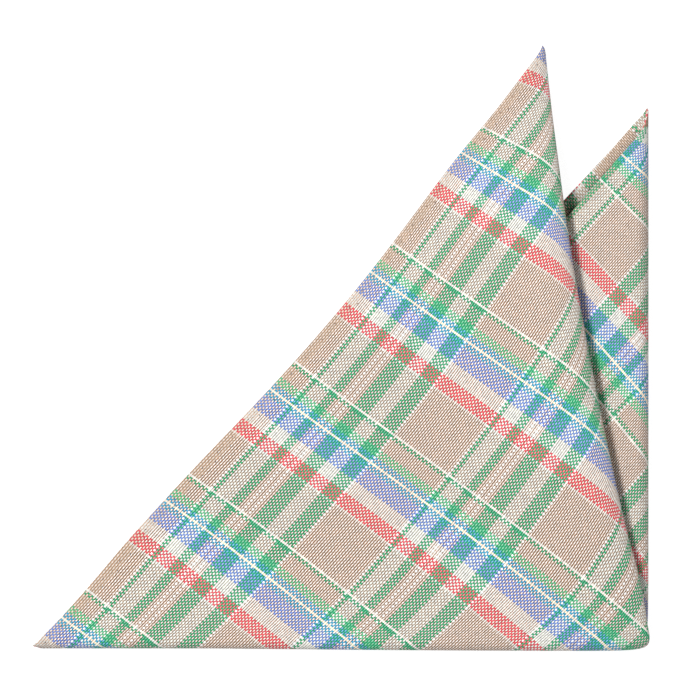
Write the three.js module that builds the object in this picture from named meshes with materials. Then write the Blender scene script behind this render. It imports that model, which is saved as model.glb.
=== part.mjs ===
// Pocket square: one hemmed sheet of woven cloth, folded on both of its diagonals
// so that four layers meet at one fold corner. Millimetres, +Z up. It lies on z = 0,
// with the fold corner at the right (+X, -Y) and the three open tips around it.
//
// A point of the cloth is named by two distances: `across`, from the front hem, and
// `along`, from the inner hem. Its four corners, in order round the cloth, are the
// left tip (0, LENGTH), the front tip (0, 0), the inner corner (WIDTH, 0) and the
// rear tip (WIDTH, LENGTH). Its four quarters, from the top of the stack down, are
// the flap (left tip to front tip), the inner leaf, the rear leaf and the under leaf.

import * as THREE from 'three';
import { mergeVertices } from 'three/addons/utils/BufferGeometryUtils.js';

// Driving dimensions.
const WIDTH = 338;          // front hem to rear hem
const LENGTH = 315;         // inner hem to under hem
const THICKNESS = 1.0;      // the sheet with its nap and crimp
const LAYER_PITCH = 1.5;    // middle of one layer to the middle of the next
const FOLD_POINT = { across: 179.2, along: 169.2 };   // where the four creases meet
const FOLD_CORNER = { x: 116.4, y: -114 };            // its place in the folded square

// The weave lies a little off square: directions in the flap, in degrees from +X.
const ACROSS_DIRECTION = -37.2;
const ALONG_DIRECTION = 229.8;
const REAR_EASE = 0.87;     // the rear half is drawn up this much across the cloth

// The bottom fold is a roll of the whole double layer.
const BOTTOM_ROLL = 3.2;    // radius of the outer leaf at the bottom fold
const BOTTOM_INNER = 1.4;   // radius of the inner leaf there
const BOTTOM_SPRING = 1.7;  // how far the inner leaves stand apart at the fold
const SPRING_REACH = 45;    // and how far up the square that is felt
const CORNER_DRAW = 1.7;    // the fold corner is drawn in this much, which rounds it
const CORNER_REACH = 5;     // within about this distance of it

// Where each crease leaves the fold point, on the cloth and once folded (degrees).
// `turn` counts the quarters: 0 is the front fold, 90 the outer bottom fold,
// 180 the rear fold and 270 the inner bottom fold.
const CREASES = [
  { name: 'front', plane: 97.5, turn: 0 },
  { name: 'outer bottom', plane: 181.0, turn: 90 },
  { name: 'rear', plane: 274.8, turn: 180 },
  { name: 'inner bottom', plane: 372.9, turn: 270 },
  { name: 'front again', plane: 457.5, turn: 360 },
];
const FRONT_FOLD_LEAN = 13.4;   // degrees that the front fold leans left of upright
const LEAN_START = 12;          // reached this far above the bottom fold

// Sections of the front half, by height above the bottom fold. `top` and `under` are
// the roll radii of the fold, `puff` is how high it stands open, `ease` the share of
// its width that shows from above, `in` and `up` how far the section is moved.
const FRONT_SECTIONS = [
  { height: 0, top: 2.5, under: 2.6, puff: 0.4, ease: 0.99, in: 0.0, up: 0.0 },
  { height: 25, top: 7.6, under: 4.0, puff: 5.0, ease: 1.00, in: 2.2, up: 1.5 },
  { height: 50, top: 11.1, under: 5.0, puff: 9.0, ease: 1.01, in: 1.5, up: 3.6 },
  { height: 100, top: 17.0, under: 6.5, puff: 12.5, ease: 1.03, in: 3.0, up: 5.0 },
  { height: 150, top: 17.0, under: 6.5, puff: 12.5, ease: 0.99, in: 6.4, up: 5.7 },
  { height: 200, top: 15.3, under: 5.5, puff: 9.5, ease: 0.92, in: 11.7, up: 1.7 },
  { height: 245, top: 5.3, under: 2.5, puff: 2.5, ease: 0.90, in: 18.1, up: -7.6 },
];

// Sections of the rear half, the same way. `slip` is how far the rear leaf has slid down
// on the under leaf, whose hem shows above it.
const REAR_SECTIONS = [
  { height: 0, top: 2.6, under: 2.5, puff: 0.4, ease: 0.99, in: 0.0, up: 0.0, slip: 0.0 },
  { height: 50, top: 4.6, under: 4.0, puff: 6.0, ease: 0.97, in: 0.0, up: -6.4, slip: 0.0 },
  { height: 100, top: 4.5, under: 4.6, puff: 9.0, ease: 1.00, in: 0.0, up: -1.4, slip: 0.0 },
  { height: 150, top: 4.5, under: 4.6, puff: 9.5, ease: 1.00, in: 0.0, up: 5.8, slip: 0.8 },
  { height: 180, top: 4.5, under: 3.6, puff: 8.0, ease: 0.98, in: 0.0, up: 10.2, slip: 2.2 },
  { height: 200, top: 1.6, under: 1.0, puff: 4.0, ease: 0.96, in: 0.0, up: 10.6, slip: 6.0 },
  { height: 245, top: 1.0, under: 0.9, puff: 1.0, ease: 0.95, in: 0.0, up: -3.9, slip: 5.4 },
];
const SLIP_REACH = 1.5;         // the slip starts beside the rear fold, over this width
const FRONT_PUFF_REACH = 80;    // how far in from the fold the open roll closes
const REAR_PUFF_REACH = 75;
const SHIFT_REACH = 60;         // the sideways move dies away over this width

// The front hem runs from tip to tip, bowed in at its middle, with a wave along its edge.
// `share` is the part of the way from the left tip, `inward` how far the edge is drawn in.
const LEFT_TIP = { x: -117.2, y: -113.2 };
const FRONT_TIP = { x: 77, y: 114.8 };
const REAR_TIP = { x: 116.5, y: 90.4 };
const HEM_BOW = 1.4;
const HEM_WAVE = [
  { share: 0, inward: -0.7 },
  { share: 0.2, inward: -1.6 },
  { share: 0.4, inward: 0.4 },
  { share: 0.6, inward: 2.1 },
  { share: 0.8, inward: 0.9 },
  { share: 0.9, inward: 1.5 },
  { share: 1, inward: -0.1 },
];
const HEM_WAVE_REACH = 60;      // the wave dies away over this distance from the hem
const DRAPE_START = 6;          // past this far beyond the rear hem, the flap comes down
const DRAPE_REACH = 24;         // and it reaches the table over this distance

// Grid of one quarter: lines parallel to its two creases, closest beside them.
const QUARTER_LINES = 30;
const CREASE_CROWDING = 1.8;

const radians = THREE.MathUtils.degToRad;
const degrees = THREE.MathUtils.radToDeg;
const clamp = THREE.MathUtils.clamp;
const smooth = (value) => THREE.MathUtils.smoothstep(value, 0, 1);

/** One column of a table at a given place, on a smooth curve through its rows. */
function tableValue(rows, key, column, place) {
  const last = rows.length - 1;
  const at = clamp(place, rows[0][key], rows[last][key]);
  let index = 0;
  while (index < last - 1 && at > rows[index + 1][key]) index += 1;
  const slope = (row) => {
    const before = rows[Math.max(row - 1, 0)];
    const after = rows[Math.min(row + 1, last)];
    return (after[column] - before[column]) / (after[key] - before[key]);
  };
  const low = rows[index];
  const high = rows[index + 1];
  const span = high[key] - low[key];
  const x = (at - low[key]) / span;
  return (2 * x ** 3 - 3 * x ** 2 + 1) * low[column]
    + (x ** 3 - 2 * x ** 2 + x) * span * slope(index)
    + (3 * x ** 2 - 2 * x ** 3) * high[column]
    + (x ** 3 - x ** 2) * span * slope(index + 1);
}

/** One column of a section table at a given height. */
const sectionValue = (sections, column, height) => tableValue(sections, 'height', column, height);

/** Share of a puff that is left at a distance in from the fold: 1 at the fold, 0 beyond reach. */
function puffShare(distance, reach) {
  return 1 - smooth(distance / reach);
}

/** Cloth point to polar coordinates round the fold point: distance and folded turn. */
function foldPolar(across, along) {
  const offset = across - FOLD_POINT.across;
  const easedAcross = offset > 0 ? offset * REAR_EASE : offset;
  const x = easedAcross * Math.cos(radians(ACROSS_DIRECTION))
    + (along - FOLD_POINT.along) * Math.cos(radians(ALONG_DIRECTION));
  const y = easedAcross * Math.sin(radians(ACROSS_DIRECTION))
    + (along - FOLD_POINT.along) * Math.sin(radians(ALONG_DIRECTION));
  let plane = degrees(Math.atan2(y, x));
  while (plane < CREASES[0].plane) plane += 360;
  const next = CREASES.findIndex((crease, index) => index > 0 && plane <= crease.plane);
  const from = CREASES[next - 1];
  const to = CREASES[next];
  const share = (plane - from.plane) / (to.plane - from.plane);
  return { distance: Math.hypot(x, y), turn: from.turn + share * (to.turn - from.turn) };
}

/** Signed distance of a place inside the line between two tips; positive towards the fold corner. */
function insideLine(start, end, x, y) {
  const length = Math.hypot(end.x - start.x, end.y - start.y);
  return ((x - start.x) * (end.y - start.y) - (y - start.y) * (end.x - start.x)) / length;
}

/** Middle heights of the four layers over one place of the table. */
function layerHeights(x, y, foldDistance, frontPuff) {
  const height = y - FOLD_CORNER.y;
  const inFromRight = FOLD_CORNER.x - x;
  const under = THICKNESS / 2;
  const rearPuff = sectionValue(REAR_SECTIONS, 'puff', height);
  const rear = under + LAYER_PITCH + rearPuff * puffShare(inFromRight, REAR_PUFF_REACH);
  const spring = BOTTOM_SPRING * (1 - smooth(height / SPRING_REACH));
  const inner = rear + LAYER_PITCH + spring;
  const flap = inner + LAYER_PITCH + frontPuff * puffShare(foldDistance, FRONT_PUFF_REACH);
  const beyond = -insideLine(LEFT_TIP, REAR_TIP, x, y) - DRAPE_START;
  const fall = (inner - under) * smooth(beyond / DRAPE_REACH);
  return { flap: flap - fall, inner: inner - fall, rear, under };
}

/** Place of a cloth point in the folded square. */
function foldedPlace(across, along) {
  const { distance, turn } = foldPolar(across, along);
  const upCloth = distance * Math.cos(radians(turn));     // positive in the front half
  const inCloth = distance * Math.sin(radians(turn));     // positive in flap and under leaf
  const isFront = upCloth >= 0;
  const sections = isFront ? FRONT_SECTIONS : REAR_SECTIONS;
  const up = Math.abs(upCloth);
  const value = (column) => sectionValue(sections, column, up);

  // Roll round the front or rear fold.
  const isOuter = inCloth >= 0;
  const radius = value(isFront === isOuter ? 'top' : 'under');
  const rollAngle = Math.min(Math.abs(inCloth) / radius, Math.PI / 2);
  const pastRoll = Math.max(Math.abs(inCloth) - radius * Math.PI / 2, 0);
  const foldDistance = radius * (1 - Math.cos(rollAngle)) + pastRoll * value('ease');
  const side = Math.sin(rollAngle) * (isOuter ? 1 : -1);

  // Roll of the double layer round the bottom fold.
  const wrapAngle = Math.min(up / BOTTOM_ROLL, Math.PI / 2);
  const wrapRadius = THREE.MathUtils.lerp(BOTTOM_INNER, BOTTOM_ROLL, (1 + side) / 2);
  const pastWrap = Math.max(up - BOTTOM_ROLL * Math.PI / 2, 0);
  const slip = isFront || isOuter ? 0 : value('slip') * (1 - Math.exp(-foldDistance / SLIP_REACH));
  const upDistance = BOTTOM_ROLL - wrapRadius * Math.cos(wrapAngle) + pastWrap + value('up') - slip;
  const half = Math.sin(wrapAngle) * (isFront ? 1 : -1);

  // Lay both distances out from the fold corner, the front fold leaning left.
  const fromCorner = foldDistance + Math.max(upDistance, 0);
  const cornerDraw = CORNER_DRAW * Math.exp(-fromCorner / CORNER_REACH);
  const inDistance = foldDistance - value('in') * Math.exp(-foldDistance / SHIFT_REACH) + cornerDraw;
  const lean = isFront ? FRONT_FOLD_LEAN * smooth(up / LEAN_START) : 0;
  const opening = Math.atan2(inDistance, upDistance + cornerDraw) / (Math.PI / 2);
  const direction = radians(90 + lean + opening * (90 - lean));
  const reach = Math.hypot(inDistance, upDistance + cornerDraw);
  let x = FOLD_CORNER.x + reach * Math.cos(direction);
  let y = FOLD_CORNER.y + reach * Math.sin(direction);

  // Draw the front hem in along its bow and wave.
  if (isFront) {
    const hem = new THREE.Vector2(FRONT_TIP.x - LEFT_TIP.x, FRONT_TIP.y - LEFT_TIP.y);
    const share = clamp(new THREE.Vector2(x - LEFT_TIP.x, y - LEFT_TIP.y).dot(hem) / hem.lengthSq(), 0, 1);
    const fromHem = Math.abs(insideLine(LEFT_TIP, FRONT_TIP, x, y));
    const bow = HEM_BOW * 4 * share * (1 - share)
      + tableValue(HEM_WAVE, 'share', 'inward', share) * Math.exp(-fromHem / HEM_WAVE_REACH);
    x += bow * hem.y / hem.length();
    y -= bow * hem.x / hem.length();
  }

  // Height: the two rolls carry the cloth between the layers' own heights.
  const layers = layerHeights(x, y, foldDistance, isFront ? value('puff') : sectionValue(FRONT_SECTIONS, 'puff', 0));
  const z = ((1 + side) * (1 + half) * layers.flap + (1 - side) * (1 + half) * layers.inner
    + (1 - side) * (1 - half) * layers.rear + (1 + side) * (1 - half) * layers.under) / 4;
  return new THREE.Vector3(x, y, z);
}

/** Line places from 0 to 1, crowded towards both ends and mirrored about the middle. */
function gridShares() {
  return Array.from({ length: QUARTER_LINES + 1 }, (_, line) => {
    const x = line / QUARTER_LINES;
    return x < 0.5 ? 0.5 * (2 * x) ** CREASE_CROWDING : 1 - 0.5 * (2 - 2 * x) ** CREASE_CROWDING;
  });
}

/** The cloth's middle surface: four quarter grids that share their crease lines. */
function middleSurface() {
  const corners = [[0, LENGTH], [0, 0], [WIDTH, 0], [WIDTH, LENGTH]];
  const shares = gridShares();
  const places = [];
  const pushCell = (a, b, c) => places.push(a, b, c);
  for (let quarter = 0; quarter < 4; quarter += 1) {
    const first = corners[quarter];
    const second = corners[(quarter + 1) % 4];
    const point = (i, j) => {
      const f = shares[i];
      const g = shares[j];
      const across = FOLD_POINT.across + f * (first[0] - FOLD_POINT.across) + g * (second[0] - FOLD_POINT.across);
      const along = FOLD_POINT.along + f * (first[1] - FOLD_POINT.along) + g * (second[1] - FOLD_POINT.along);
      return foldedPlace(across, along);
    };
    for (let i = 0; i < QUARTER_LINES; i += 1) {
      for (let j = 0; i + j < QUARTER_LINES; j += 1) {
        pushCell(point(i, j), point(i + 1, j), point(i, j + 1));
        if (i + j < QUARTER_LINES - 1) pushCell(point(i + 1, j), point(i + 1, j + 1), point(i, j + 1));
      }
    }
  }
  const geometry = new THREE.BufferGeometry().setFromPoints(places);
  const merged = mergeVertices(geometry, 1e-3);
  merged.computeVertexNormals();
  return merged;
}

/** Give the middle surface its thickness: two skins and the hem's rim between them. */
function sheetSolid(surface, thickness) {
  const position = surface.getAttribute('position');
  const normal = surface.getAttribute('normal');
  const count = position.count;
  const vertices = [];
  for (const way of [0.5, -0.5]) {
    for (let index = 0; index < count; index += 1) {
      const point = new THREE.Vector3().fromBufferAttribute(position, index);
      const direction = new THREE.Vector3().fromBufferAttribute(normal, index);
      vertices.push(...point.addScaledVector(direction, way * thickness));
    }
  }
  const triangles = [];
  const edges = new Map();
  const source = surface.getIndex();
  for (let face = 0; face < source.count; face += 3) {
    const [a, b, c] = [source.getX(face), source.getX(face + 1), source.getX(face + 2)];
    triangles.push(a, b, c, a + count, c + count, b + count);
    for (const [from, to] of [[a, b], [b, c], [c, a]]) {
      if (edges.has(`${to},${from}`)) edges.delete(`${to},${from}`);
      else edges.set(`${from},${to}`, [from, to]);
    }
  }
  for (const [from, to] of edges.values()) {
    triangles.push(from, from + count, to, to, from + count, to + count);
  }
  const solid = new THREE.BufferGeometry();
  solid.setAttribute('position', new THREE.Float32BufferAttribute(vertices, 3));
  solid.setIndex(triangles);
  solid.computeVertexNormals();
  return solid;
}

const wovenCloth = new THREE.MeshStandardMaterial({ color: 0xc1c4bb, roughness: 0.85, metalness: 0 });

const pocketSquare = new THREE.Mesh(sheetSolid(middleSurface(), THICKNESS), wovenCloth);
pocketSquare.name = 'pocket_square';

const model = new THREE.Group();
model.add(pocketSquare);

export default model;
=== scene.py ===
"""Looks of a pocket square: one hemmed square of plaid cloth, folded on both diagonals.

The cloth is a fine sheet on the folds of its CAD solid, with its hem turned twice to the
wrong side. Every point of it is named by two distances in millimetres: `across`, from the
front hem, and `along`, from the inner hem. The four quarters, from the top of the stack down,
are the flap, the inner leaf, the rear leaf and the under leaf. The plaid is woven from the
same two distances, so it follows every fold.
"""

import logging
import math
import random
from dataclasses import dataclass, field, fields
from enum import Enum
from functools import cached_property

import bmesh
import bpy
from mathutils import Matrix, Vector


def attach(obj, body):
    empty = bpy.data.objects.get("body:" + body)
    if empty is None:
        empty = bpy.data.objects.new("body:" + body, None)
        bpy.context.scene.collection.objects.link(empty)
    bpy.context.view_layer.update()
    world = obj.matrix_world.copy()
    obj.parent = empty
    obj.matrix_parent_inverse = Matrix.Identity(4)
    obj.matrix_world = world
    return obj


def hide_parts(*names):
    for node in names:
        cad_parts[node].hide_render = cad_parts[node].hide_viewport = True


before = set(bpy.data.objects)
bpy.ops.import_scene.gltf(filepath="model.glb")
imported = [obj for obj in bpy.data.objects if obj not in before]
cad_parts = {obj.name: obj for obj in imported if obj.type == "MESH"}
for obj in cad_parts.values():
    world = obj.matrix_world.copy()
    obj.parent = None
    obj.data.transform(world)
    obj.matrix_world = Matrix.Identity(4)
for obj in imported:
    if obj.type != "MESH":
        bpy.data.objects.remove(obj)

logging.basicConfig(level=logging.INFO, format="%(message)s")
log = logging.getLogger("pocket_square")

MM = 0.001
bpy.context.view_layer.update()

Point = tuple[float, float]
Socket = bpy.types.NodeSocket


def linear(hex_colour: str) -> tuple[float, float, float, float]:
    """Turn an sRGB hex colour into the linear colour that a shader takes.

    Args:
        hex_colour: six hex digits, red first.

    Returns:
        Red, green and blue from 0 to 1 in linear light, and an alpha of 1.
    """
    channels = [int(hex_colour[i:i + 2], 16) / 255 for i in (0, 2, 4)]
    return (*[c / 12.92 if c <= 0.04045 else ((c + 0.055) / 1.055) ** 2.4 for c in channels], 1.0)


def smooth(value: float) -> float:
    """Ease from 0 to 1 as the value goes from 0 to 1."""
    value = min(max(value, 0.0), 1.0)
    return value * value * (3 - 2 * value)


def add_node(tree: bpy.types.NodeTree, kind: str, settings: dict | None = None,
             links: dict | None = None, **values: object) -> bpy.types.Node:
    """Add one shader node.

    Args:
        tree: the material's or world's node tree.
        kind: the node's type name.
        settings: properties of the node itself.
        links: input name or number to the socket that feeds it.
        values: input name, with _ for a space, or i and its number, to a plain value.

    Returns:
        The new node.
    """
    node = tree.nodes.new(kind)
    for name, setting in (settings or {}).items():
        setattr(node, name, setting)
    for name, value in values.items():
        key = int(name[1:]) if name[0] == "i" and name[1:].isdigit() else name.replace("_", " ")
        node.inputs[key].default_value = value
    for name, socket in (links or {}).items():
        tree.links.new(socket, node.inputs[name])
    return node


def feed(tree: bpy.types.NodeTree, node: bpy.types.Node, terms: dict[int, Socket | float]) -> None:
    """Feed a node's inputs by their numbers.

    Args:
        tree: the node tree.
        node: the node.
        terms: input number to the socket or the plain number that feeds it.
    """
    for index, term in terms.items():
        if isinstance(term, (int, float)):
            node.inputs[index].default_value = term
        else:
            tree.links.new(term, node.inputs[index])


def add_math(tree: bpy.types.NodeTree, operation: str, *terms: Socket | float) -> Socket:
    """Add one Math node.

    Args:
        tree: the node tree.
        operation: the node's operation.
        terms: its inputs in order, each a socket or a number.

    Returns:
        The node's result.
    """
    node = add_node(tree, "ShaderNodeMath", {"operation": operation})
    feed(tree, node, dict(enumerate(terms)))
    return node.outputs[0]


def add_blend(tree: bpy.types.NodeTree, share: Socket, low: Socket | float,
              high: Socket | float) -> Socket:
    """Add a Mix node for plain values.

    Args:
        tree: the node tree.
        share: how far to go from the first value to the second.
        low: the value at 0.
        high: the value at 1.

    Returns:
        The blended value.
    """
    node = add_node(tree, "ShaderNodeMix", {"data_type": "FLOAT"})
    feed(tree, node, {0: share, 2: low, 3: high})
    return node.outputs[0]


def add_range(tree: bpy.types.NodeTree, value: Socket, start: tuple[float, float],
              end: tuple[float, float], kind: str = "SMOOTHSTEP") -> Socket:
    """Add one Map Range node.

    Args:
        tree: the node tree.
        value: the socket that is mapped.
        start: the range that it comes from.
        end: the range that it goes to.
        kind: how it goes between the two ends.

    Returns:
        The mapped value.
    """
    node = add_node(tree, "ShaderNodeMapRange", {"interpolation_type": kind}, {"Value": value},
                    From_Min=start[0], From_Max=start[1], To_Min=end[0], To_Max=end[1])
    return node.outputs[0]


def new_material(name: str) -> bpy.types.Material:
    """Make a material with an empty node tree.

    Args:
        name: the material's name.

    Returns:
        The material.
    """
    material = bpy.data.materials.new(name)
    material.use_nodes = True
    material.node_tree.nodes.clear()
    return material


def new_piece(name: str, shape: bmesh.types.BMesh) -> bpy.types.Object:
    """Put a finished shape in the scene as an object at the origin.

    Args:
        name: the name of the piece and of its mesh.
        shape: the shape, which is freed.

    Returns:
        The piece.
    """
    mesh = bpy.data.meshes.new(name)
    shape.to_mesh(mesh)
    shape.free()
    piece = bpy.data.objects.new(name, mesh)
    bpy.context.scene.collection.objects.link(piece)
    return piece


# ---------------------------------------------------------------------------------------
# The fold


@dataclass(frozen=True)
class Curve:
    """A smooth curve through the rows of a short table."""

    places: tuple[float, ...]
    values: tuple[float, ...]

    def slope(self, row: int) -> float:
        """Slope of the curve at one row, from the rows on both sides of it."""
        before, after = max(row - 1, 0), min(row + 1, len(self.places) - 1)
        return (self.values[after] - self.values[before]) / (self.places[after] - self.places[before])

    def at(self, place: float) -> float:
        """Read the curve.

        Args:
            place: where; past an end, it reads the end.

        Returns:
            The curve's value there.
        """
        place = min(max(place, self.places[0]), self.places[-1])
        row = 0
        while row < len(self.places) - 2 and place > self.places[row + 1]:
            row += 1
        span = self.places[row + 1] - self.places[row]
        x = (place - self.places[row]) / span
        return ((2 * x ** 3 - 3 * x ** 2 + 1) * self.values[row]
                + (x ** 3 - 2 * x ** 2 + x) * span * self.slope(row)
                + (3 * x ** 2 - 2 * x ** 3) * self.values[row + 1]
                + (x ** 3 - x ** 2) * span * self.slope(row + 1))


@dataclass(frozen=True)
class Section:
    """One section of a folded half, in millimetres, at a height above the bottom fold.

    `top` and `under` are the roll radii of its side fold, `puff` is how high the fold stands
    open, `ease` the share of its width that shows from above, `inward` and `upward` how far
    the section is moved, and `slip` how far the rear leaf has slid down on the under leaf.
    """

    height: float
    top: float
    under: float
    puff: float
    ease: float
    inward: float
    upward: float
    slip: float = 0.0


@dataclass(frozen=True)
class DiagonalFold:
    """The fold of the whole square, in millimetres, as the CAD solid has it.

    The hem wave, the front fold's lean and most of the section rows are the rounded results of
    a least-squares fit, not chosen by hand. An earlier fit gave the fold point, the thread
    directions and the crease at 181 degrees.
    """

    width: float = 338.0
    length: float = 315.0
    layer_pitch: float = 1.5
    under_height: float = 0.30
    fold_point: Point = (179.2, 169.2)
    fold_corner: Point = (116.4, -114.0)
    across_direction: float = -37.2
    along_direction: float = 229.8
    rear_ease: float = 0.87
    bottom_roll: float = 3.2
    bottom_inner: float = 1.4
    bottom_spring: float = 1.7
    spring_reach: float = 45.0
    corner_draw: float = 1.7
    corner_reach: float = 5.0
    creases: tuple[Point, ...] = ((97.5, 0), (181.0, 90), (274.8, 180), (372.9, 270), (457.5, 360))
    front_fold_lean: float = 13.4
    lean_start: float = 12.0
    front_puff_reach: float = 80.0
    rear_puff_reach: float = 75.0
    shift_reach: float = 60.0
    slip_reach: float = 1.5
    left_tip: Point = (-117.2, -113.2)
    front_tip: Point = (77.0, 114.8)
    rear_tip: Point = (116.5, 90.4)
    hem_bow: float = 1.4
    hem_wave: Curve = Curve((0, 0.2, 0.4, 0.6, 0.8, 0.9, 1), (-0.7, -1.6, 0.4, 2.1, 0.9, 1.5, -0.1))
    hem_wave_reach: float = 60.0
    drape_start: float = 6.0
    drape_reach: float = 24.0
    front: tuple[Section, ...] = (
        Section(0, 2.5, 2.6, 0.4, 0.99, 0.0, 0.0),
        Section(25, 7.6, 4.0, 5.0, 1.00, 2.2, 1.5),
        Section(50, 11.1, 5.0, 9.0, 1.01, 1.5, 3.6),
        Section(100, 17.0, 6.5, 12.5, 1.03, 3.0, 5.0),
        Section(150, 17.0, 6.5, 12.5, 0.99, 6.4, 5.7),
        Section(200, 15.3, 5.5, 9.5, 0.92, 11.7, 1.7),
        Section(245, 5.3, 2.5, 2.5, 0.90, 18.1, -7.6),
    )
    rear: tuple[Section, ...] = (
        Section(0, 2.6, 2.5, 0.4, 0.99, 0.0, 0.0, 0.0),
        Section(50, 4.6, 4.0, 6.0, 0.97, 0.0, -6.4, 0.0),
        Section(100, 4.5, 4.6, 9.0, 1.00, 0.0, -1.4, 0.0),
        Section(150, 4.5, 4.6, 9.5, 1.00, 0.0, 5.8, 0.8),
        Section(180, 4.5, 3.6, 8.0, 0.98, 0.0, 10.2, 2.2),
        Section(200, 1.6, 1.0, 4.0, 0.96, 0.0, 10.6, 6.0),
        Section(245, 1.0, 0.9, 1.0, 0.95, 0.0, -3.9, 5.4),
    )

    @cached_property
    def curves(self) -> dict[bool, dict[str, Curve]]:
        """Curves through the columns of the section tables.

        Returns:
            The curves by column name, for the front half under True and the rear under False.
        """
        columns = [item.name for item in fields(Section)[1:]]
        return {
            is_front: {
                name: Curve(tuple(row.height for row in sections),
                            tuple(getattr(row, name) for row in sections))
                for name in columns
            }
            for is_front, sections in ((True, self.front), (False, self.rear))
        }

    def polar(self, across: float, along: float) -> Point:
        """Find a cloth point's polar place round the fold point.

        Args:
            across: distance from the front hem.
            along: distance from the inner hem.

        Returns:
            Its distance from the fold point and its folded turn in degrees.
        """
        offset = across - self.fold_point[0]
        eased = offset * self.rear_ease if offset > 0 else offset
        rest = along - self.fold_point[1]
        u, v = math.radians(self.across_direction), math.radians(self.along_direction)
        x = eased * math.cos(u) + rest * math.cos(v)
        y = eased * math.sin(u) + rest * math.sin(v)
        plane = math.degrees(math.atan2(y, x))
        while plane < self.creases[0][0]:
            plane += 360
        after = next(i for i, crease in enumerate(self.creases) if i and plane <= crease[0])
        (low, low_turn), (high, high_turn) = self.creases[after - 1], self.creases[after]
        return math.hypot(x, y), low_turn + (plane - low) / (high - low) * (high_turn - low_turn)

    def inside(self, start: Point, end: Point, x: float, y: float) -> float:
        """Find how far a place is inside the line between two tips, towards the fold corner."""
        run = (end[0] - start[0], end[1] - start[1])
        return ((x - start[0]) * run[1] - (y - start[1]) * run[0]) / math.hypot(*run)

    def layer_heights(self, x: float, y: float, fold_distance: float,
                      front_puff: float) -> tuple[float, float, float, float]:
        """Find the heights of the flap, inner leaf, rear leaf and under leaf over one place.

        Args:
            x: the place on the table.
            y: the place on the table.
            fold_distance: how far in from its side fold the cloth is.
            front_puff: how high the front fold stands open in this section.

        Returns:
            The four heights, top first.
        """
        height = y - self.fold_corner[1]
        from_right = self.fold_corner[0] - x
        rear_puff = self.curves[False]["puff"].at(height) * (1 - smooth(from_right / self.rear_puff_reach))
        rear = self.under_height + self.layer_pitch + rear_puff
        inner = rear + self.layer_pitch + self.bottom_spring * (1 - smooth(height / self.spring_reach))
        flap = inner + self.layer_pitch + front_puff * (1 - smooth(fold_distance / self.front_puff_reach))
        beyond = -self.inside(self.left_tip, self.rear_tip, x, y) - self.drape_start
        fall = (inner - self.under_height) * smooth(beyond / self.drape_reach)
        return flap - fall, inner - fall, rear, self.under_height

    def draw_in_hem(self, x: float, y: float) -> Point:
        """Draw a place of the front half in along the bow and the wave of the front hem.

        Args:
            x: the place on the table.
            y: the place on the table.

        Returns:
            The place drawn in.
        """
        hem = Vector(self.front_tip) - Vector(self.left_tip)
        share = (Vector((x, y)) - Vector(self.left_tip)).dot(hem) / hem.length_squared
        share = min(max(share, 0.0), 1.0)
        from_hem = abs(self.inside(self.left_tip, self.front_tip, x, y))
        bow = (self.hem_bow * 4 * share * (1 - share)
               + self.hem_wave.at(share) * math.exp(-from_hem / self.hem_wave_reach))
        return x + bow * hem.y / hem.length, y - bow * hem.x / hem.length

    def place(self, across: float, along: float) -> Vector:
        """Find where a cloth point lies in the folded square.

        Args:
            across: distance from the front hem, in millimetres.
            along: distance from the inner hem, in millimetres.

        Returns:
            Its place, in millimetres.
        """
        distance, turn = self.polar(across, along)
        up_cloth = distance * math.cos(math.radians(turn))
        in_cloth = distance * math.sin(math.radians(turn))
        is_front, is_outer = up_cloth >= 0, in_cloth >= 0
        curves = self.curves[is_front]
        up = abs(up_cloth)

        radius = curves["top" if is_front == is_outer else "under"].at(up)
        roll = min(abs(in_cloth) / radius, math.pi / 2)
        past_roll = max(abs(in_cloth) - radius * math.pi / 2, 0.0)
        fold_distance = radius * (1 - math.cos(roll)) + past_roll * curves["ease"].at(up)
        side = math.sin(roll) * (1 if is_outer else -1)

        wrap = min(up / self.bottom_roll, math.pi / 2)
        wrap_radius = self.bottom_inner + (self.bottom_roll - self.bottom_inner) * (1 + side) / 2
        past_wrap = max(up - self.bottom_roll * math.pi / 2, 0.0)
        slip = 0.0 if is_outer else curves["slip"].at(up) * (1 - math.exp(-fold_distance / self.slip_reach))
        up_distance = (self.bottom_roll - wrap_radius * math.cos(wrap) + past_wrap
                       + curves["upward"].at(up) - slip)
        half = math.sin(wrap) * (1 if is_front else -1)

        draw = self.corner_draw * math.exp(-(fold_distance + max(up_distance, 0.0)) / self.corner_reach)
        shift = curves["inward"].at(up) * math.exp(-fold_distance / self.shift_reach)
        in_distance = fold_distance - shift + draw
        up_distance += draw
        lean = self.front_fold_lean * smooth(up / self.lean_start) if is_front else 0.0
        opening = math.atan2(in_distance, up_distance) / (math.pi / 2)
        direction = math.radians(90 + lean + opening * (90 - lean))
        reach = math.hypot(in_distance, up_distance)
        x = self.fold_corner[0] + reach * math.cos(direction)
        y = self.fold_corner[1] + reach * math.sin(direction)
        if is_front:
            x, y = self.draw_in_hem(x, y)

        puff = self.curves[True]["puff"].at(up if is_front else 0.0)
        flap, inner, rear, under = self.layer_heights(x, y, fold_distance, puff)
        z = ((1 + side) * (1 + half) * flap + (1 - side) * (1 + half) * inner
             + (1 - side) * (1 - half) * rear + (1 + side) * (1 - half) * under) / 4
        return Vector((x, y, z))

    def facing(self, across: float, along: float) -> Vector:
        """Find the way that the right side of the folded cloth faces.

        Args:
            across: distance from the front hem.
            along: distance from the inner hem.

        Returns:
            The way it faces, of length 1.
        """
        step = 0.5
        one = self.place(across + step, along) - self.place(across - step, along)
        other = self.place(across, along + step) - self.place(across, along - step)
        return other.cross(one).normalized()


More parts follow.
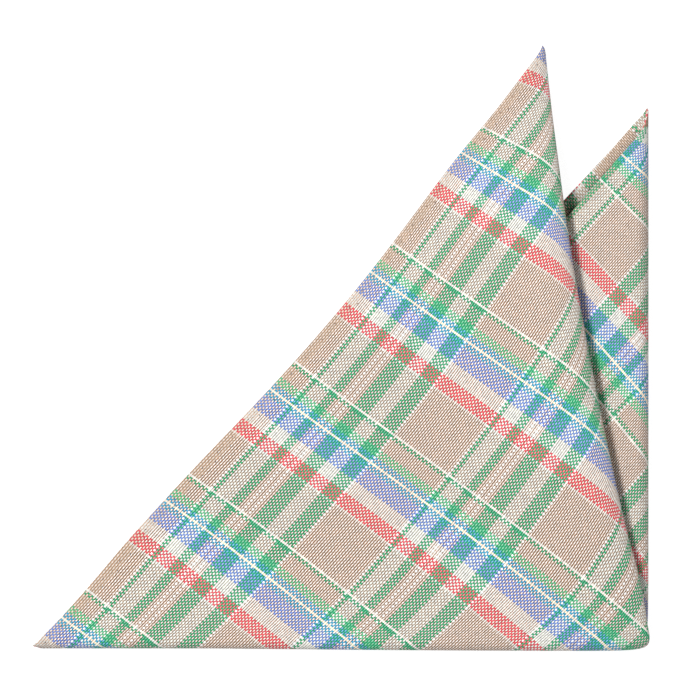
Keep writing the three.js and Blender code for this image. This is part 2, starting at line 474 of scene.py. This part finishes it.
@dataclass(frozen=True)
class ClothSide:
    """One side of the flat cloth: where it starts, the way it runs, its length and the way in."""

    start: Point
    run: Point
    length: float
    inward: Point

    def point(self, share: float, inset: float) -> Vector:
        """Find a point on the side moved in by an inset, its corners mitred.

        Args:
            share: how far along the side, from 0 to 1.
            inset: distance in from the edge, in millimetres.

        Returns:
            The cloth point: across and along.
        """
        reach = inset + share * (self.length - 2 * inset)
        return Vector(self.start) + Vector(self.run) * reach + Vector(self.inward) * inset


def cloth_sides(fold: DiagonalFold) -> tuple[ClothSide, ...]:
    """List the sides of the flat cloth.

    Args:
        fold: the fold, which holds the cloth's size.

    Returns:
        The inner, rear, under and front sides, in order round it.
    """
    width, length = fold.width, fold.length
    return (
        ClothSide((0.0, 0.0), (1.0, 0.0), width, (0.0, 1.0)),
        ClothSide((width, 0.0), (0.0, 1.0), length, (-1.0, 0.0)),
        ClothSide((width, length), (-1.0, 0.0), width, (0.0, -1.0)),
        ClothSide((0.0, length), (0.0, -1.0), length, (1.0, 0.0)),
    )


# ---------------------------------------------------------------------------------------
# The plaid


class Yarn(Enum):
    """The dyed yarns of the plaid, as sRGB colours."""

    TAN = "cab094"
    WHITE = "f6f3ee"
    PALE = "d4d5cf"
    GREEN = "10ae78"
    MINT = "52ca94"
    RED = "ec5064"
    SKY = "08b0d6"
    CREAM = "fbf4e6"
    PERIWINKLE = "7a9fe2"
    IVORY = "ebe9e4"


BOLD = (Yarn.WHITE, Yarn.CREAM)


@dataclass(frozen=True)
class ThreadChart:
    """One repeat of a set of threads: how many of each yarn, in the order of the loom."""

    stripes: tuple[tuple[int, Yarn], ...]
    pitch: float
    start: float

    @property
    def repeat(self) -> int:
        """Threads in one repeat."""
        return sum(count for count, _ in self.stripes)

    def fill_ramp(self, ramp: bpy.types.ColorRamp) -> None:
        """Write the stripes into a colour ramp that spans one repeat.

        The alpha is 0 for a bold yarn, so thick that it covers the threads that cross it.

        Args:
            ramp: the ramp of a new Color Ramp node.
        """
        ramp.interpolation = "CONSTANT"
        done = 0
        for index, (count, yarn) in enumerate(self.stripes):
            stop = ramp.elements[0] if index == 0 else ramp.elements.new(done / self.repeat)
            stop.color = (*linear(yarn.value)[:3], 0.0 if yarn in BOLD else 1.0)
            done += count
        ramp.elements.remove(ramp.elements[-1])


HEM_WAY_THREADS = ThreadChart(
    stripes=((2, Yarn.GREEN), (7, Yarn.PALE), (4, Yarn.GREEN), (2, Yarn.TAN), (1, Yarn.WHITE),
             (2, Yarn.TAN), (1, Yarn.WHITE), (2, Yarn.TAN), (7, Yarn.GREEN), (7, Yarn.PALE),
             (7, Yarn.GREEN), (1, Yarn.WHITE), (28, Yarn.TAN), (1, Yarn.WHITE)),
    pitch=0.8875, start=10.13)
CROSS_WAY_THREADS = ThreadChart(
    stripes=((7, Yarn.RED), (1, Yarn.IVORY), (28, Yarn.TAN), (1, Yarn.WHITE), (2, Yarn.GREEN),
             (7, Yarn.TAN), (4, Yarn.MINT), (3, Yarn.SKY), (1, Yarn.CREAM), (3, Yarn.SKY),
             (8, Yarn.PERIWINKLE), (7, Yarn.IVORY)),
    pitch=0.832, start=13.0)


@dataclass(frozen=True)
class WeaveDrift:
    """How far the woven pattern is moved from square on the cloth, in millimetres.

    Both tables are the rounded results of a least-squares fit, not chosen by hand. They take up
    errors of the fold as well as any real pull in the cloth. Each row of `across` and `along`
    is at one distance from the front hem, and each column at one distance from the inner hem.
    """

    rows: tuple[float, ...] = (0, 115, 225, 338)
    columns: tuple[float, ...] = (0, 105, 210, 315)
    across: tuple[tuple[float, ...], ...] = (
        (0.3, 0.3, 0.1, 0.1),
        (-0.3, 0.1, 0.4, 1.3),
        (-0.7, 0.0, 0.6, 2.1),
        (-1.4, -0.1, 1.0, 3.8),
    )
    along: tuple[tuple[float, ...], ...] = (
        (0.7, -0.2, -0.8, -1.9),
        (-1.1, -1.2, -1.2, -1.0),
        (-2.2, -1.9, -1.5, 0.1),
        (-4.3, -3.1, -1.4, 4.7),
    )

    def at(self, point: Vector) -> Vector:
        """Find the drift at a cloth point.

        Args:
            point: across and along.

        Returns:
            The drift across and along.
        """
        return Vector([
            Curve(self.rows, tuple(Curve(self.columns, row).at(point.y) for row in table)).at(point.x)
            for table in (self.across, self.along)
        ])


@dataclass(frozen=True)
class FoldCreep:
    """How far the rear leaf's threads have crept where it rolls over its fold, in millimetres.

    The curves go by the height above the bottom fold, and fade out under the roll.
    """

    across: Curve = Curve((0, 30, 68, 108, 140, 172, 205), (0.0, -3.0, -4.6, -1.7, -1.2, -0.6, 0.0))
    along: Curve = Curve((0, 30, 68, 108, 140, 172, 205), (1.5, 3.3, 0.2, -2.2, -2.2, -1.3, -0.6))
    fade: float = 12.0

    def at(self, fold: DiagonalFold, point: Vector) -> Vector:
        """Find the creep at a cloth point.

        Args:
            fold: the fold that the rear leaf rolls over.
            point: across and along.

        Returns:
            The creep across and along.
        """
        distance, turn = fold.polar(point.x, point.y)
        height = -distance * math.cos(math.radians(turn))
        past_fold = distance * math.sin(math.radians(turn))
        share = smooth(1 - past_fold / self.fade) * smooth(height / self.fade)
        return Vector((self.across.at(height), self.along.at(height))) * share


@dataclass(frozen=True)
class Weave:
    """The weave at one place of the cloth, as the sockets that a material reads."""

    place: Socket         # across and along, in millimetres
    edge: Socket          # distance in from the edge, in millimetres, less than 0 on the turned hem
    off_hem: Socket       # 1 on the single cloth, 0 on the hem
    hem_on_top: Socket    # 1 where the hem-way yarn is on top
    colour: Socket        # colour of the yarn on top
    dye: Socket           # dye depth of the yarn on top
    hem_dye: Socket       # dye depth of the hem-way yarn
    rib: Socket           # height across the hem-way yarn, from 0 to 1
    stitch: Socket        # height across the cross-way yarn, from 0 to 1
    evenness: Socket      # brightness of this crossing, about 1


@dataclass(frozen=True)
class WovenPlaid:
    """Plain weave of soft cotton, washed and pressed.

    Washing leaves it matt and pressing flattens each float. Light and shade are painted into its
    base colour: a painted pale glint on every float, the hem-way ribs painted lighter, and painted
    shade in the furrows, dark and rich beside the dyed yarns. Each pair of glints is for an undyed
    yarn and a deep-dyed one. The first number of each way's glint, the glint's powers and rim, the
    furrow's rim and power, and the hem way's painted light are the rounded results of a
    least-squares fit.
    """

    name: str = "plain_woven_cotton_washed_and_pressed"
    roughness: float = 0.82
    sheen: float = 0.08
    sheen_roughness: float = 0.5
    # painted highlight: how far the pale glint painted on each float whitens its colour
    hem_way_glint: Point = (1.0, 0.06)
    cross_way_glint: Point = (0.42, 0.06)
    over_dye_glint: Point = (0.85, 0.29)
    glint_powers: Point = (4.3, 0.1)      # how much the glint narrows across a rib, and along it
    glint_rim: Point = (0.38, 0.48)
    painted_glint_colour: str = "ffffff"
    dye_range: Point = (0.62, 0.72)       # saturations of a pale yarn and a deep-dyed one
    # painted shade in the furrows, and painted light that makes the hem-way ribs brighter
    deep_dye_furrow_shade: float = 0.80
    deep_dye_painted_light: float = 1.15
    hem_way_painted_light: float = 1.30
    brightest: float = 0.98
    furrow: float = 0.95
    furrow_rim: float = 0.965             # height on a rib that sees the whole sky
    furrow_power: float = 0.3
    crossover: float = 0.12               # how gradually one yarn dips under the other
    bump_mm: float = 0.04
    uneven: float = 0.10
    hem_width: float = 4.2
    hem_step: float = 0.4
    # the hem band is made darker, with shallower painted furrow shade and a weaker painted glint
    hem_dull: float = 0.86
    hem_furrow_shade: float = 0.72
    hem_glint: float = 0.75
    edge_wear: float = 0.12
    wear_reach: Point = (0.1, 0.9)        # millimetres from the fold of the edge
    wear_patches: float = 0.7             # in a millimetre
    worn_colour: str = "f4f0ea"

    def threads(self, tree: bpy.types.NodeTree, chart: ThreadChart,
                distance: Socket) -> tuple[bpy.types.Node, Socket, Socket]:
        """Find the thread under a point.

        Args:
            tree: the material's node tree.
            chart: the threads that are crossed.
            distance: distance across those threads, in millimetres.

        Returns:
            The ramp with the yarn's colour, the thread's number, and a wave over its thickness
            that changes sign from thread to thread.
        """
        repeats_before = 10  # keeps the count above 0 all over the cloth
        count = add_math(tree, "MULTIPLY_ADD", distance, 1 / chart.pitch,
                         -chart.start / chart.pitch + repeats_before * chart.repeat)
        whole = add_math(tree, "FLOOR", count)
        share = add_math(tree, "MULTIPLY_ADD", whole, 1 / chart.repeat, 0.5 / chart.repeat)
        ramp = add_node(tree, "ShaderNodeValToRGB", None, {"Fac": add_math(tree, "FRACT", share)})
        chart.fill_ramp(ramp.color_ramp)
        wave = add_math(tree, "SINE", add_math(tree, "MULTIPLY", count, math.pi))
        return ramp, whole, wave

    def unevenness(self, tree: bpy.types.NodeTree, hem_number: Socket, cross_number: Socket) -> Socket:
        """Find how light the yarn is at one crossing, for threads spun a little unevenly.

        Args:
            tree: the material's node tree.
            hem_number: number of the hem-way thread.
            cross_number: number of the cross-way thread.

        Returns:
            A brightness of about 1.
        """
        crossing = add_node(tree, "ShaderNodeCombineXYZ", None, {0: hem_number, 1: cross_number})
        each = add_node(tree, "ShaderNodeTexWhiteNoise", {"noise_dimensions": "2D"},
                        {"Vector": crossing.outputs[0]})
        return add_range(tree, each.outputs["Value"], (0, 1), (1 - self.uneven, 1 + self.uneven), "LINEAR")

    def dye_depth(self, tree: bpy.types.NodeTree, colour: Socket) -> Socket:
        """Tell a deep-dyed yarn, as 1, from a pale one, as 0, by how saturated its colour is."""
        parts = add_node(tree, "ShaderNodeSeparateColor", {"mode": "HSV"}, {0: colour})
        return add_range(tree, parts.outputs["Green"], self.dye_range, (0, 1))

    def weave(self, tree: bpy.types.NodeTree) -> Weave:
        """Find the weave at each place, from the cloth's own map and edge distance.

        Args:
            tree: the material's node tree.

        Returns:
            The weave's sockets.
        """
        cloth_map = add_node(tree, "ShaderNodeUVMap", {"uv_map": "cloth_map"})
        flat = add_node(tree, "ShaderNodeVectorMath", {"operation": "SCALE"},
                        {0: cloth_map.outputs[0]}, Scale=1 / MM)
        parts = add_node(tree, "ShaderNodeSeparateXYZ", None, {0: flat.outputs[0]})
        hem_way, hem_number, hem_wave = self.threads(tree, HEM_WAY_THREADS, parts.outputs[0])
        cross_way, cross_number, cross_wave = self.threads(tree, CROSS_WAY_THREADS, parts.outputs[1])
        over = add_math(tree, "MULTIPLY", hem_wave, cross_wave)
        over = add_range(tree, over, (-self.crossover, self.crossover), (0, 1))
        hem_on_top = add_math(tree, "MULTIPLY", over, cross_way.outputs["Alpha"])
        yarns = add_node(tree, "ShaderNodeMix", {"data_type": "RGBA"},
                         {0: hem_on_top, 6: cross_way.outputs["Color"], 7: hem_way.outputs["Color"]})
        edge = add_node(tree, "ShaderNodeAttribute", {"attribute_name": "edge_distance"}).outputs["Fac"]
        return Weave(
            place=flat.outputs[0],
            edge=edge,
            off_hem=add_range(tree, edge, (self.hem_width - self.hem_step, self.hem_width), (0, 1)),
            hem_on_top=hem_on_top,
            colour=yarns.outputs[2],
            dye=self.dye_depth(tree, yarns.outputs[2]),
            hem_dye=self.dye_depth(tree, hem_way.outputs["Color"]),
            rib=add_math(tree, "ABSOLUTE", hem_wave),
            stitch=add_math(tree, "ABSOLUTE", cross_wave),
            evenness=self.unevenness(tree, hem_number, cross_number),
        )

    def furrow_light(self, tree: bpy.types.NodeTree, colour: Socket, shut: Socket) -> Socket:
        """Darken the furrows between ribs, where light bounces from yarn to yarn.

        Each bounce multiplies by the yarn's colour, so a pale furrow stays light and a deep one
        turns dark and rich: colour * (1 - shut) / (1 - shut * colour).

        Args:
            tree: the material's node tree.
            colour: the yarn's colour.
            shut: how much of the open sky the place can't see, from 0 to 1.

        Returns:
            The colour with the furrow's light in it.
        """
        kept = add_node(tree, "ShaderNodeVectorMath", {"operation": "SCALE"},
                        {0: colour, "Scale": add_math(tree, "SUBTRACT", 1.0, shut)})
        caught = add_node(tree, "ShaderNodeVectorMath", {"operation": "SCALE"}, {0: colour, "Scale": shut})
        lost = add_node(tree, "ShaderNodeVectorMath", {"operation": "SUBTRACT"},
                        {1: caught.outputs[0]}, i0=(1.0, 1.0, 1.0))
        seen = add_node(tree, "ShaderNodeVectorMath", {"operation": "DIVIDE"},
                        {0: kept.outputs[0], 1: lost.outputs[0]})
        return seen.outputs[0]

    def painted_ribs_and_furrows(self, tree: bpy.types.NodeTree, weave: Weave) -> Socket:
        """Paint light and shade into the yarns' colour: the ribs painted a little lighter, and painted
        shade sunk into the furrows between them.

        Args:
            tree: the material's node tree.
            weave: the weave at each place.

        Returns:
            The colour with the painted rib light and painted furrow shade in it.
        """
        # painted shade: the furrows between ribs are darkened, less on the hem and on deep-dyed yarns
        depth = add_range(tree, weave.off_hem, (0, 1), (self.hem_furrow_shade, self.furrow), "LINEAR")
        furrow_shade_for_dye = add_range(tree, weave.dye, (0, 1), (1.0, self.deep_dye_furrow_shade), "LINEAR")
        low = add_range(tree, weave.rib, (0.0, self.furrow_rim), (1.0, 0.0))
        shut = add_math(tree, "MULTIPLY", depth, add_math(tree, "POWER", low, self.furrow_power))
        shut = add_math(tree, "MULTIPLY", shut, furrow_shade_for_dye)
        # painted light: the hem-way ribs are made brighter than the cross-way floats
        painted_rib_light = add_range(tree, weave.dye, (0, 1), (self.hem_way_painted_light, self.deep_dye_painted_light), "LINEAR")
        lift = add_blend(tree, weave.hem_on_top, 1.0, painted_rib_light)
        lift = add_math(tree, "MULTIPLY", lift, weave.evenness)
        bright = add_node(tree, "ShaderNodeVectorMath", {"operation": "SCALE"},
                          {0: weave.colour, "Scale": lift})
        bright = add_node(tree, "ShaderNodeVectorMath", {"operation": "MINIMUM"},
                          {0: bright.outputs[0]}, i1=(self.brightest, self.brightest, self.brightest))
        return self.furrow_light(tree, bright.outputs[0], shut)

    def painted_glint_strength(self, tree: bpy.types.NodeTree, weave: Weave) -> Socket:
        """Find how strong the painted glint on a float is, which its own dye and the yarn under it decide.

        Args:
            tree: the material's node tree.
            weave: the weave at each place.

        Returns:
            The strength of the painted glint.
        """
        ribs, flat, packed = (add_range(tree, weave.dye, (0, 1), glints, "LINEAR")
                              for glints in (self.hem_way_glint, self.cross_way_glint, self.over_dye_glint))
        crossing = add_blend(tree, weave.hem_dye, flat, packed)
        return add_blend(tree, weave.hem_on_top, crossing, ribs)

    def painted_glints(self, tree: bpy.types.NodeTree, weave: Weave, colour: Socket) -> Socket:
        """Paint a pale oval highlight into the colour on the middle of each float, softer on the hem, and
        make the hem band a little darker.

        Args:
            tree: the material's node tree.
            weave: the weave at each place.
            colour: the colour so far.

        Returns:
            The colour with the glints on it.
        """
        across, along = self.glint_powers
        # painted highlight: a pale oval painted on the middle of each float
        oval = add_math(tree, "MULTIPLY", add_math(tree, "POWER", weave.rib, across),
                        add_math(tree, "POWER", weave.stitch, along))
        glint = add_math(tree, "MULTIPLY", add_range(tree, oval, self.glint_rim, (0, 1)),
                         self.painted_glint_strength(tree, weave))
        # the painted glint is weaker on the hem band
        pressing = add_range(tree, weave.off_hem, (0, 1), (self.hem_glint, 1.0), "LINEAR")
        painted_glints = add_node(tree, "ShaderNodeMix", {"data_type": "RGBA"},
                            {0: add_math(tree, "MULTIPLY", glint, pressing), 6: colour},
                            i7=linear(self.painted_glint_colour))
        # the hem band is made a little darker
        dull = add_range(tree, weave.off_hem, (0, 1), (self.hem_dull, 1.0), "LINEAR")
        pressed = add_node(tree, "ShaderNodeMix", {"data_type": "RGBA", "blend_type": "MULTIPLY"},
                           {6: painted_glints.outputs[2], 7: dull}, i0=1.0)
        return pressed.outputs[2]

    def worn(self, tree: bpy.types.NodeTree, weave: Weave, colour: Socket) -> Socket:
        """Rub the very edge of the hem pale in patches.

        Args:
            tree: the material's node tree.
            weave: the weave at each place.
            colour: the colour so far.

        Returns:
            The colour with the wear on it.
        """
        fuzz = add_node(tree, "ShaderNodeTexNoise", None, {"Vector": weave.place},
                        Scale=self.wear_patches, Detail=2.0)
        patches = add_range(tree, fuzz.outputs[0], (0.35, 0.65), (0, 1))
        from_edge = add_math(tree, "ABSOLUTE", weave.edge)
        rubbed = add_range(tree, from_edge, self.wear_reach, (self.edge_wear, 0.0))
        worn = add_node(tree, "ShaderNodeMix", {"data_type": "RGBA"},
                        {0: add_math(tree, "MULTIPLY", rubbed, patches), 6: colour},
                        i7=linear(self.worn_colour))
        return worn.outputs[2]

    def build(self) -> bpy.types.Material:
        """Make the woven material.

        Returns:
            The material.
        """
        material = new_material(self.name)
        tree = material.node_tree
        weave = self.weave(tree)
        colour = self.painted_glints(tree, weave, self.painted_ribs_and_furrows(tree, weave))
        colour = self.worn(tree, weave, colour)
        bump = add_node(tree, "ShaderNodeBump", None,
                        {"Height": add_math(tree, "MULTIPLY", weave.rib, weave.stitch)},
                        Strength=1.0, Distance=self.bump_mm * MM)
        shader = add_node(tree, "ShaderNodeBsdfPrincipled", None,
                          {"Base Color": colour, "Normal": bump.outputs[0]},
                          Roughness=self.roughness, Sheen_Weight=self.sheen,
                          Sheen_Roughness=self.sheen_roughness)
        add_node(tree, "ShaderNodeOutputMaterial", None, {"Surface": shader.outputs[0]})
        return material


@dataclass(frozen=True)
class HemThread:
    """Spun sewing cotton, mercerised.

    Mercerising makes it smoother and brighter than the cloth. Its grey varies at random, in small patches,
    between a darker and a lighter tone.
    """

    name: str = "spun_sewing_cotton_mercerised"
    colour: str = "6a6a74"
    dark: str = "44444e"
    roughness: float = 0.55
    sheen: float = 0.1
    plies: float = 6000.0    # in a metre

    def build(self) -> bpy.types.Material:
        """Make the thread's material.

        Returns:
            The material.
        """
        material = new_material(self.name)
        tree = material.node_tree
        place = add_node(tree, "ShaderNodeTexCoord")
        plies = add_node(tree, "ShaderNodeTexNoise", None, {"Vector": place.outputs["Object"]},
                         Scale=self.plies, Detail=1.0)
        share = add_range(tree, plies.outputs[0], (0.35, 0.65), (0, 1))
        colour = add_node(tree, "ShaderNodeMix", {"data_type": "RGBA"}, {0: share},
                          i6=linear(self.dark), i7=linear(self.colour))
        shader = add_node(tree, "ShaderNodeBsdfPrincipled", None, {"Base Color": colour.outputs[2]},
                          Roughness=self.roughness, Sheen_Weight=self.sheen)
        add_node(tree, "ShaderNodeOutputMaterial", None, {"Surface": shader.outputs[0]})
        return material


# ---------------------------------------------------------------------------------------
# The pieces


@dataclass(frozen=True)
class HemRow:
    """One row of points round the cloth, in millimetres.

    `inset` is its distance in from the edge, `depth` how far it lies below the face, towards
    the wrong side, and `beyond` how far past the edge it is in the cloth itself.
    """

    inset: float
    depth: float
    beyond: float


@dataclass
class PocketSquareCloth:
    """The cloth: a fine sheet on the folds of the CAD solid, its hem turned twice and mitred.

    Sizes are in millimetres. The grid has `side_columns` columns a side, and `field_rows` rows
    from the fold point to `field_inset` from the edge, where the rows of the hem start.
    """

    fold: DiagonalFold = field(default_factory=DiagonalFold)
    drift: WeaveDrift = field(default_factory=WeaveDrift)
    creep: FoldCreep = field(default_factory=FoldCreep)
    thickness: float = 0.28
    hem_gap: float = 0.29
    hem_width: float = 4.2
    hem_insets: tuple[float, ...] = (5.1, 4.5, 4.1, 3.2, 2.2, 1.1)
    hem_middle: float = 2.2
    tuck_middle: float = 2.4
    raw_edge: float = 0.6
    side_columns: int = 90
    corner_crowding: float = 1.5
    field_rows: int = 58
    centre_crowding: float = 1.3
    field_inset: float = 6.0

    @cached_property
    def sides(self) -> tuple[ClothSide, ...]:
        """The four sides of the flat cloth."""
        return cloth_sides(self.fold)

    @cached_property
    def hem(self) -> list[HemRow]:
        """The rows of the turned hem.

        Returns:
            The rows from the field, over the edge, to the raw edge inside.
        """
        gap = self.hem_gap
        rows = [HemRow(inset, 0.0, -inset) for inset in (self.field_inset, *self.hem_insets, gap)]
        for turn in (0.25 * math.pi, 0.5 * math.pi, 0.75 * math.pi, math.pi):
            rows.append(HemRow(gap - gap * math.sin(turn), gap * (1 - math.cos(turn)), gap * turn - gap))
        back = gap * math.pi - gap
        rows += [HemRow(inset, 2 * gap, back + inset - gap) for inset in (self.hem_middle, self.hem_width)]
        inner = back + self.hem_width - gap
        for turn in (0.5 * math.pi, math.pi):
            rows.append(HemRow(self.hem_width + gap / 2 * math.sin(turn),
                               gap * (1.5 + 0.5 * math.cos(turn)), inner + gap / 2 * turn))
        last = inner + gap / 2 * math.pi
        rows += [HemRow(inset, gap, last + self.hem_width - inset)
                 for inset in (self.tuck_middle, self.raw_edge)]
        return rows

    def share(self, column: int) -> float:
        """Find how far along its side a column is; columns crowd at both corners.

        Args:
            column: its number on the side.

        Returns:
            Its share of the side, from 0 to 1.
        """
        half = 2 * column / self.side_columns
        near = min(half, 2 - half) ** self.corner_crowding / 2
        return near if half <= 1 else 1 - near

    def grid_point(self, number: int, column: int, row: int) -> tuple[Vector, Vector, HemRow | None]:
        """Find one point of the grid, whose rows go from the fold point out to the hem.

        Args:
            number: the side of the cloth that it belongs to.
            column: its column, counted round all four sides.
            row: its row.

        Returns:
            Its place on the cloth, its place in the weave, and its hem row if it is on the hem.
        """
        side = self.sides[number]
        share = self.share(column - self.side_columns * number)
        if row < self.field_rows:
            part = (row / self.field_rows) ** self.centre_crowding
            point = Vector(self.fold.fold_point).lerp(side.point(share, self.field_inset), part)
            return point, point, None
        turned = self.hem[row - self.field_rows]
        point = side.point(share, turned.inset)
        return point, point - Vector(side.inward) * (turned.inset + turned.beyond), turned

    def build(self) -> bpy.types.Object:
        """Weave, hem, fold and thicken the sheet.

        Returns:
            The cloth, as one piece.
        """
        columns, rows = 4 * self.side_columns, self.field_rows + len(self.hem) - 1
        shape = bmesh.new()
        bmesh.ops.create_grid(shape, x_segments=columns, y_segments=rows, size=0.5)
        cloth_map = shape.loops.layers.uv.new("cloth_map")
        edge_distance = shape.verts.layers.float.new("edge_distance")
        index = {vertex: (round((vertex.co.x + 0.5) * columns), round((vertex.co.y + 0.5) * rows))
                 for vertex in shape.verts}
        drifts: dict[tuple[int, int], Vector] = {}
        for vertex, (column, row) in index.items():
            point, _, turned = self.grid_point(min(column // self.side_columns, 3), column, row)
            place = self.fold.place(point.x, point.y)
            if turned is None:
                vertex[edge_distance] = 2 * self.field_inset
            else:
                place -= self.fold.facing(point.x, point.y) * turned.depth
                vertex[edge_distance] = -turned.beyond
            vertex.co = place * MM
            drifts[column, row] = self.drift.at(point) + self.creep.at(self.fold, point)
        for face in shape.faces:
            face.smooth = True
            number = min(index[vertex][0] for vertex in face.verts) // self.side_columns
            for loop in face.loops:
                column, row = index[loop.vert]
                woven = self.grid_point(number, column, row)[1] + drifts[column, row]
                loop[cloth_map].uv = woven * MM
        bmesh.ops.remove_doubles(shape, verts=shape.verts, dist=1e-7)
        bmesh.ops.recalc_face_normals(shape, faces=shape.faces)
        cloth = new_piece("plaid_cloth", shape)
        solidify = cloth.modifiers.new("thickness", "SOLIDIFY")
        solidify.thickness = self.thickness * MM
        solidify.offset = 0
        return cloth

    def dress(self, cloth: bpy.types.Object) -> None:
        """Give the cloth its weave."""
        cloth.data.materials.append(WovenPlaid().build())


@dataclass
class HemStitches:
    """The hand-sewn hem: two rows of small stitches, by turns, that show on both sides.

    Sizes are in millimetres. `stray` is how far a stitch strays from its even place, and `skew`
    how far it turns out of the row.
    """

    fold: DiagonalFold
    hem_gap: float
    rows: tuple[float, float] = (2.3, 4.0)
    spacing: float = 8.5
    length: float = 0.9
    thread: float = 0.26
    proud: float = 0.14      # from the middle of the cloth to the middle of a stitch
    stray: float = 0.15
    skew: float = 0.5
    seed: int = 7

    def build(self) -> bpy.types.Object:
        """Sew all four sides.

        Returns:
            The stitches, as one piece.
        """
        chance = random.Random(self.seed)
        shape = bmesh.new()
        for side in cloth_sides(self.fold):
            count = round(side.length / self.spacing)
            for index in range(2 * count):
                share = (index + 0.5 + chance.uniform(-self.stray, self.stray)) / (2 * count)
                inset = self.rows[index % 2] + chance.uniform(-self.stray, self.stray)
                point = side.point(share, inset)
                ahead = point + Vector(side.run) * 0.5
                facing = self.fold.facing(point.x, point.y)
                place = self.fold.place(point.x, point.y)
                run = (self.fold.place(ahead.x, ahead.y) - place).normalized()
                run = (run + facing.cross(run) * chance.uniform(-self.skew, self.skew)).normalized()
                axes = Matrix((run, facing.cross(run), facing)).transposed()
                size = Matrix.Diagonal((self.length, self.thread, self.thread)) * (0.5 * MM)
                for depth in (-self.proud, 2 * self.hem_gap + self.proud):
                    matrix = Matrix.Translation((place - facing * depth) * MM) @ (axes @ size).to_4x4()
                    bmesh.ops.create_icosphere(shape, subdivisions=2, radius=1.0, matrix=matrix)
        for face in shape.faces:
            face.smooth = True
        return new_piece("hem_stitches", shape)

    def dress(self, stitches: bpy.types.Object) -> None:
        """Give the stitches their thread."""
        stitches.data.materials.append(HemThread().build())


@dataclass(frozen=True)
class Lamp:
    """One soft square lamp: where it hangs and its side, in metres, and its power in watts."""

    name: str
    place: tuple[float, float, float]
    size: float
    power: float

    def hang(self) -> None:
        """Hang it, aimed at the square."""
        data = bpy.data.lights.new(self.name, "AREA")
        data.size = self.size
        data.energy = self.power
        lamp = bpy.data.objects.new(self.name, data)
        aim = (-Vector(self.place)).to_track_quat("-Z", "Y").to_matrix().to_4x4()
        lamp.matrix_world = Matrix.Translation(self.place) @ aim
        bpy.context.scene.collection.objects.link(lamp)


@dataclass
class Studio:
    """Plain table, soft lamps, and a camera straight above."""

    lamps: tuple[Lamp, ...] = (Lamp("key_lamp", (-0.7, 0.45, 2.05), 0.45, 45.0),
                               Lamp("fill_lamp", (0.8, -0.5, 1.8), 1.4, 2.0))
    room_light: float = 0.30
    view_width: float = 0.266
    view_centre: Point = (0.0032, -0.0008)
    lens: float = 1000.0
    sensor: float = 36.0
    table_size: float = 6.0
    table_white: str = "dcdcdc"
    seen_white: str = "a0a0a0"    # the part of the seen table's white that shadows can darken
    seen_glow: float = 0.9

    def camera(self) -> None:
        """Look straight down at the square from far away."""
        data = bpy.data.cameras.new("camera")
        data.lens = self.lens
        data.sensor_width = self.sensor
        data.clip_end = 30.0
        camera = bpy.data.objects.new("camera", data)
        camera.location = (*self.view_centre, self.view_width * self.lens / self.sensor)
        bpy.context.scene.collection.objects.link(camera)
        bpy.context.scene.camera = camera

    def table(self) -> None:
        """Lay the white table that the square rests on."""
        shape = bmesh.new()
        bmesh.ops.create_grid(shape, x_segments=1, y_segments=1, size=self.table_size / 2)
        table = new_piece("table", shape)
        material = new_material("white_table")
        tree = material.node_tree
        path = add_node(tree, "ShaderNodeLightPath")
        seen = add_math(tree, "MAXIMUM", path.outputs["Is Camera Ray"], path.outputs["Is Glossy Ray"])
        seen = add_math(tree, "MAXIMUM", seen, path.outputs["Is Transmission Ray"])
        plain = add_node(tree, "ShaderNodeBsdfDiffuse", Color=linear(self.table_white))
        dim = add_node(tree, "ShaderNodeBsdfDiffuse", Color=linear(self.seen_white))
        glow = add_node(tree, "ShaderNodeEmission", Strength=self.seen_glow)
        bright = add_node(tree, "ShaderNodeAddShader", None, {0: dim.outputs[0], 1: glow.outputs[0]})
        mixed = add_node(tree, "ShaderNodeMixShader", None,
                         {0: seen, 1: plain.outputs[0], 2: bright.outputs[0]})
        add_node(tree, "ShaderNodeOutputMaterial", None, {"Surface": mixed.outputs[0]})
        table.data.materials.append(material)

    def world(self) -> None:
        """Fill the room with plain soft light and a white background."""
        world = bpy.data.worlds.new("room")
        bpy.context.scene.world = world
        world.use_nodes = True
        tree = world.node_tree
        tree.nodes.clear()
        path = add_node(tree, "ShaderNodeLightPath")
        fill = add_node(tree, "ShaderNodeBackground", Color=linear("ffffff"), Strength=self.room_light)
        white = add_node(tree, "ShaderNodeBackground", Color=linear("ffffff"), Strength=1.0)
        mixed = add_node(tree, "ShaderNodeMixShader", None,
                         {0: path.outputs["Is Camera Ray"], 1: fill.outputs[0], 2: white.outputs[0]})
        add_node(tree, "ShaderNodeOutputWorld", None, {"Surface": mixed.outputs[0]})

    def build(self) -> None:
        """Set up the whole studio."""
        self.camera()
        self.table()
        self.world()
        for lamp in self.lamps:
            lamp.hang()
        scene = bpy.context.scene
        scene.view_settings.view_transform = "Standard"
        scene.cycles.use_denoising = False  # it would smooth away the weave


def main() -> None:
    """Build the pocket square and its studio, piece by piece."""
    Studio().build()
    log.info("studio: table, lamps and camera")
    square = PocketSquareCloth()
    cloth = square.build()
    square.dress(cloth)
    log.info("cloth: %d points", len(cloth.data.vertices))
    hem = HemStitches(square.fold, square.hem_gap)
    stitches = hem.build()
    hem.dress(stitches)
    log.info("stitches: %d points", len(stitches.data.vertices))
    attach(cloth, "root")
    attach(stitches, "root")
    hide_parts("pocket_square")


if __name__ == "__main__":
    main()
